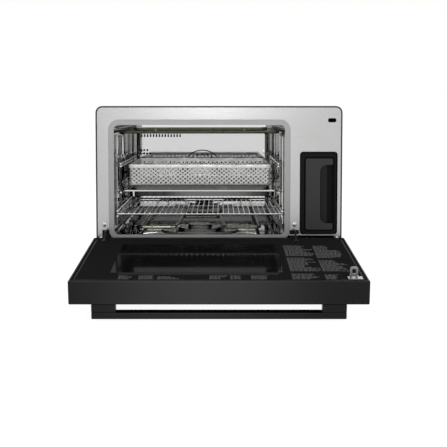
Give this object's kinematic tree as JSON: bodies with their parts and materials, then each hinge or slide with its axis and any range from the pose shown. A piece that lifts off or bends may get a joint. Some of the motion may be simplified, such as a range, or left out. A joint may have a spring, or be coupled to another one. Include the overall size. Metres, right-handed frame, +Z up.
{
  "type": "steam oven",
  "caption": "Countertop steam oven with a drop-down glass door, a draw-out water tank beside the cavity, a wire shelf, a baking tray with a steam pan, a convection fan and a drip tray.",
  "frame": {"origin": "centre of the open oven's footprint, on the counter", "axes": "+X to the right seen from the front, +Y from the door to the back, +Z up"},
  "size_m": [0.5462, 0.7042, 0.393],
  "materials": {
    "outer_casing": "dark satin paint",
    "base_pan": "galvanised sheet",
    "rear_panel": "galvanised sheet",
    "power_inlet": "black plastic",
    "front_frame": "satin brushed steel",
    "plinth_panel": "dark satin paint",
    "cavity_liner": "bright steel",
    "cavity_trim": "matt grey trim",
    "fan_cover": "bright steel",
    "fan_motor": "dark steel",
    "upper_element": "heat-browned steel tube",
    "lower_element": "heat-browned steel tube",
    "upper_reflector": "bright steel",
    "evaporator_cover": "bright steel",
    "side_rack_left": "bright steel",
    "side_rack_right": "bright steel",
    "steam_generator": "satin brushed steel",
    "water_pump": "dark steel",
    "water_hose": "white silicone",
    "feed_hose": "white silicone",
    "steam_pipe": "white silicone",
    "power_board": "green circuit board",
    "door_interlock": "black plastic",
    "hinge_housing_left": "dark steel",
    "hinge_housing_right": "dark steel",
    "frame_screw_left": "bright steel",
    "frame_screw_right": "bright steel",
    "door_bumper_left": "white nylon",
    "door_bumper_right": "white nylon",
    "foot_front_left": "black rubber",
    "foot_front_right": "black rubber",
    "foot_rear_left": "black rubber",
    "foot_rear_right": "black rubber",
    "tank_housing": "black plastic",
    "fan_wheel": "satin brushed steel",
    "fan_shaft": "dark steel",
    "baking_tray": "bright steel",
    "steam_pan": "bright steel",
    "lower_shelf": "bright steel",
    "water_tank": "smoked clear plastic",
    "tank_lid": "dark grey plastic",
    "tank_front": "dark grey plastic",
    "drip_tray": "black plastic",
    "door_frame": "dark grey plastic",
    "inner_glass": "black printed glass",
    "middle_pane": "clear pane",
    "door_baffle": "galvanised sheet",
    "outer_glass": "black printed glass",
    "handle_bar": "dark satin paint",
    "handle_post_left": "dark satin paint",
    "handle_post_right": "dark satin paint",
    "latch_striker": "satin brushed steel",
    "hinge_arm_left": "dark steel",
    "hinge_arm_right": "dark steel",
    "display": "dark grey plastic",
    "control_board": "green circuit board",
    "control_knob": "satin brushed steel",
    "button_1": "satin brushed steel",
    "button_2": "satin brushed steel",
    "button_3": "satin brushed steel"
  },
  "bodies": {
    "cabinet": {"outer_casing": "outer_casing", "base_pan": "base_pan", "rear_panel": "rear_panel", "power_inlet": "power_inlet", "front_frame": "front_frame", "plinth_panel": "plinth_panel", "cavity_liner": "cavity_liner", "cavity_trim": "cavity_trim", "fan_cover": "fan_cover", "fan_motor": "fan_motor", "upper_element": "upper_element", "lower_element": "lower_element", "upper_reflector": "upper_reflector", "evaporator_cover": "evaporator_cover", "side_rack_left": "side_rack_left", "side_rack_right": "side_rack_right", "steam_generator": "steam_generator", "water_pump": "water_pump", "water_hose": "water_hose", "feed_hose": "feed_hose", "steam_pipe": "steam_pipe", "power_board": "power_board", "door_interlock": "door_interlock", "hinge_housing_left": "hinge_housing_left", "hinge_housing_right": "hinge_housing_right", "frame_screw_left": "frame_screw_left", "frame_screw_right": "frame_screw_right", "door_bumper_left": "door_bumper_left", "door_bumper_right": "door_bumper_right", "foot_front_left": "foot_front_left", "foot_front_right": "foot_front_right", "foot_rear_left": "foot_rear_left", "foot_rear_right": "foot_rear_right", "tank_housing": "tank_housing"},
    "door": {"door_frame": "door_frame", "inner_glass": "inner_glass", "middle_pane": "middle_pane", "door_baffle": "door_baffle", "outer_glass": "outer_glass", "handle_bar": "handle_bar", "handle_post_left": "handle_post_left", "handle_post_right": "handle_post_right", "latch_striker": "latch_striker", "hinge_arm_left": "hinge_arm_left", "hinge_arm_right": "hinge_arm_right", "display": "display", "control_board": "control_board"},
    "knob": {"control_knob": "control_knob"},
    "left_button": {"button_1": "button_1"},
    "middle_button": {"button_2": "button_2"},
    "right_button": {"button_3": "button_3"},
    "fan": {"fan_wheel": "fan_wheel", "fan_shaft": "fan_shaft"},
    "baking_tray": {"baking_tray": "baking_tray"},
    "pan": {"steam_pan": "steam_pan"},
    "lower_shelf": {"lower_shelf": "lower_shelf"},
    "tank": {"water_tank": "water_tank", "tank_lid": "tank_lid", "tank_front": "tank_front"},
    "tray": {"drip_tray": "drip_tray"}
  },
  "joints": [
    {"name": "door_hinge", "type": "hinge", "parent": "cabinet", "child": "door", "pos_m": [0, -0.05686, 0.0955], "axis": [-1, 0, 0], "range_deg": [0, 96]},
    {"name": "knob_turn", "type": "hinge", "parent": "door", "child": "knob", "pos_m": [0.1981, -0.19756, 0.04703], "axis": [0, -0.1045, 0.9945], "continuous": true},
    {"name": "left_button_press", "type": "slide", "parent": "door", "child": "left_button", "axis": [0, -0.1045, 0.9945], "range_m": [0, 0.0012], "stiffness_N_per_m": 400},
    {"name": "middle_button_press", "type": "slide", "parent": "door", "child": "middle_button", "axis": [0, -0.1045, 0.9945], "range_m": [0, 0.0012], "stiffness_N_per_m": 400},
    {"name": "right_button_press", "type": "slide", "parent": "door", "child": "right_button", "axis": [0, -0.1045, 0.9945], "range_m": [0, 0.0012], "stiffness_N_per_m": 400},
    {"name": "fan_spin", "type": "hinge", "parent": "cabinet", "child": "fan", "pos_m": [-0.0427, 0.28714, 0.2318], "axis": [0, 1, 0], "continuous": true},
    {"name": "baking_tray_slide", "type": "slide", "parent": "cabinet", "child": "baking_tray", "axis": [0, 1, 0], "range_m": [-0.2, 0]},
    {"name": "pan_lift", "type": "slide", "parent": "baking_tray", "child": "pan", "axis": [0, 0, 1], "range_m": [0, 0.04]},
    {"name": "lower_shelf_slide", "type": "slide", "parent": "cabinet", "child": "lower_shelf", "axis": [0, 1, 0], "range_m": [-0.2, 0]},
    {"name": "tank_slide", "type": "slide", "parent": "cabinet", "child": "tank", "axis": [0, 1, 0], "range_m": [-0.26, 0]},
    {"name": "tray_slide", "type": "slide", "parent": "cabinet", "child": "tray", "axis": [0, 1, 0], "range_m": [-0.12, 0]}
  ]
}
